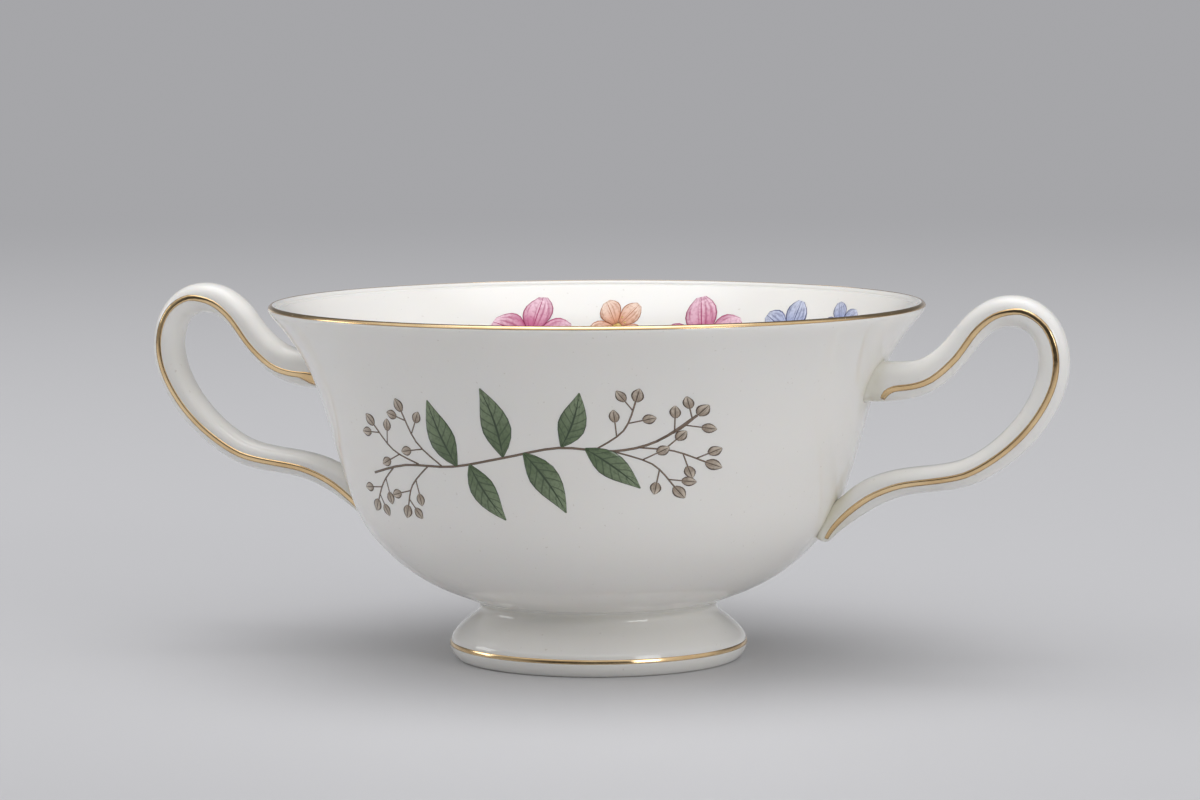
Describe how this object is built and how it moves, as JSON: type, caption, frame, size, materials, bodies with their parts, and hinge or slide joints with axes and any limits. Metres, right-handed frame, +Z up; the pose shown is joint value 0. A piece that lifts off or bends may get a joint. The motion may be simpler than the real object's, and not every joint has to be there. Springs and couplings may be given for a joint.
{
  "type": "two-handled cup",
  "caption": "Round flared cup on a spreading foot, with a looped handle on each side and gilded edges, for soup or a hot drink.",
  "frame": {"origin": "centre of the foot's standing ring, on the surface the cup stands on", "axes": "+Z up along the bowl's axis, +X and -X along the handles"},
  "size_m": [0.1748, 0.12, 0.0677],
  "materials": {
    "porcelain": "glossy clear glaze",
    "gilding": "burnished gold, worn at the edges",
    "print": "enamel colours fired on the glaze"
  },
  "bodies": {
    "root": {"bowl": "porcelain", "foot": "porcelain", "left_handle": "porcelain", "right_handle": "porcelain", "rim_gilding": "gilding", "foot_gilding": "gilding", "left_handle_front_line": "gilding", "left_handle_back_line": "gilding", "right_handle_front_line": "gilding", "right_handle_back_line": "gilding"}
  },
  "joints": []
}
